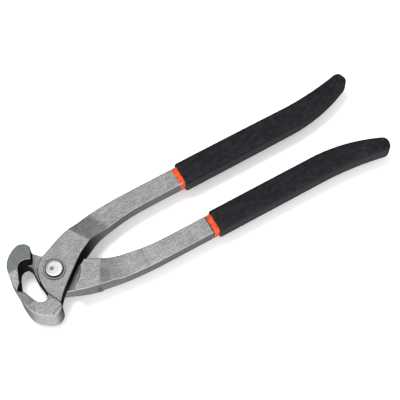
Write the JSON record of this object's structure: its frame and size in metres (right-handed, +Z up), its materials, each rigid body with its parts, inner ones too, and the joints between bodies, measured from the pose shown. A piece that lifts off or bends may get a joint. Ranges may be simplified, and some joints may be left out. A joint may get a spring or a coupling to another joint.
{
  "type": "hoof nipper",
  "caption": "Farrier's end-cutting nipper: two lapped forged levers on one rivet, hooked jaws that meet edge to edge, and dipped black grips with orange collars.",
  "frame": {"origin": "middle of the footprint of the closed tool, at the height of the surface it lies on", "axes": "+X along the tool towards the grips, +Y towards the upper lever's grip, +Z up along the rivet"},
  "size_m": [0.2538, 0.0634, 0.027],
  "materials": {
    "forged_steel": "satin, fine linished grain",
    "bright_steel": "bright",
    "orange_dip": "glossy dipped vinyl",
    "black_dip": "satin dipped vinyl, faintly pebbled"
  },
  "bodies": {
    "upper_half": {"upper_lever": "forged_steel", "pivot_rivet": "bright_steel", "upper_washer": "bright_steel", "lower_washer": "bright_steel", "upper_undercoat": "orange_dip", "upper_grip": "black_dip"},
    "lower_half": {"lower_lever": "forged_steel", "lower_undercoat": "orange_dip", "lower_grip": "black_dip"}
  },
  "joints": [
    {"name": "lever_pivot", "type": "hinge", "parent": "upper_half", "child": "lower_half", "pos_m": [-0.10051, 0, 0.0135], "axis": [0, 0, -1], "range_deg": [0, 24]}
  ]
}
